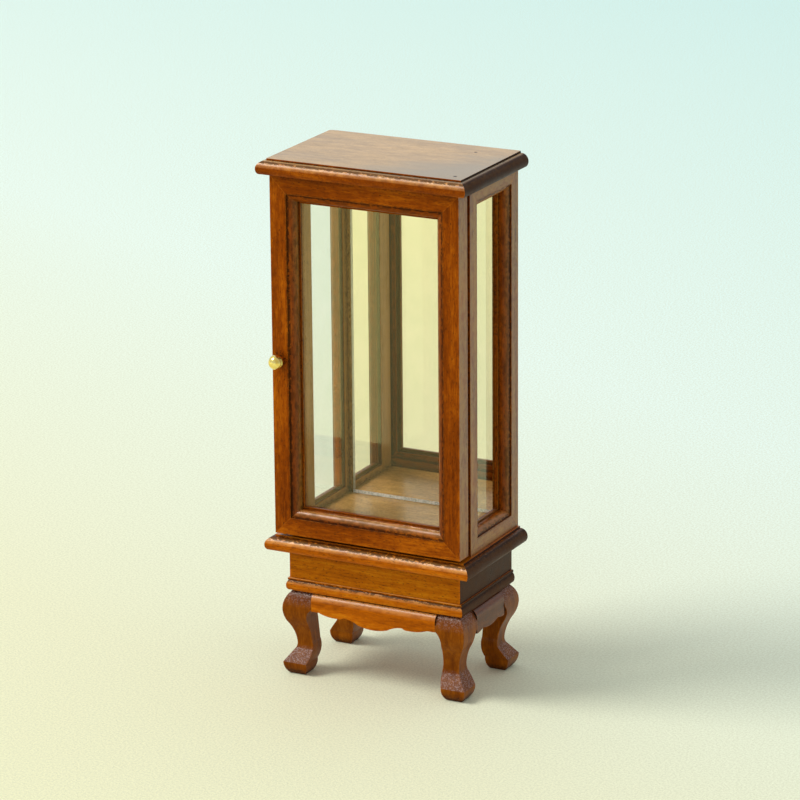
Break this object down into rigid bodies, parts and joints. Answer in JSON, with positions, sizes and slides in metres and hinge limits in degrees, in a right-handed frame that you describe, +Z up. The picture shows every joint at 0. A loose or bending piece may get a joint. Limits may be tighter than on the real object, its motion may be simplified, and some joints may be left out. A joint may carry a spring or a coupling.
{
  "type": "miniature bookcase",
  "caption": "Dolls'-house display bookcase: tall glazed box with a mirror back, hinged glazed front door with a ball knob, moulded boards and short cabriole legs.",
  "frame": {"origin": "bottom centre of the bounding box, on the floor plane under the feet", "axes": "+Z up, -Y towards the door (front), +X to the right-hand side as seen from the front"},
  "size_m": [0.0636, 0.0426, 0.15],
  "materials": {
    "case_wood": "semi-gloss red-brown stain and lacquer",
    "box_wood": "semi-gloss yellow-brown stain",
    "leg_wood": "satin dark red-brown lacquer",
    "inner_wood": "satin stained open-pored wood",
    "clear_glass": "clear polished",
    "mirror_glass": "silvered on the back, cut edges bright",
    "brass": "polished",
    "steel_pin": "dull dark steel"
  },
  "bodies": {
    "cabinet": {"apron_front": "leg_wood", "apron_left": "leg_wood", "apron_rear": "leg_wood", "apron_right": "leg_wood", "back_panel": "inner_wood", "base_moulding": "case_wood", "box_back": "box_wood", "box_front": "box_wood", "box_left": "box_wood", "box_right": "box_wood", "floor_panel": "inner_wood", "hinge_pins": "steel_pin", "leg_front_left": "leg_wood", "leg_front_right": "leg_wood", "leg_rear_left": "leg_wood", "leg_rear_right": "leg_wood", "mirror": "mirror_glass", "side_left_pane": "clear_glass", "side_left_rail_bottom": "case_wood", "side_left_rail_top": "case_wood", "side_left_stile_front": "case_wood", "side_left_stile_rear": "case_wood", "side_right_pane": "clear_glass", "side_right_rail_bottom": "case_wood", "side_right_rail_top": "case_wood", "side_right_stile_front": "case_wood", "side_right_stile_rear": "case_wood", "top_board": "case_wood", "top_brad": "steel_pin", "waist_board": "case_wood", "waist_strip_front": "case_wood", "waist_strip_left": "case_wood", "waist_strip_right": "case_wood"},
    "door": {"door_knob": "brass", "door_pane": "clear_glass", "door_rail_bottom": "case_wood", "door_rail_top": "case_wood", "door_stile_left": "case_wood", "door_stile_right": "case_wood"}
  },
  "joints": [
    {"name": "door_hinge", "type": "hinge", "parent": "cabinet", "child": "door", "pos_m": [0.02605, -0.01345, 0.0941], "axis": [0, 0, 1], "range_deg": [0, 110]}
  ]
}
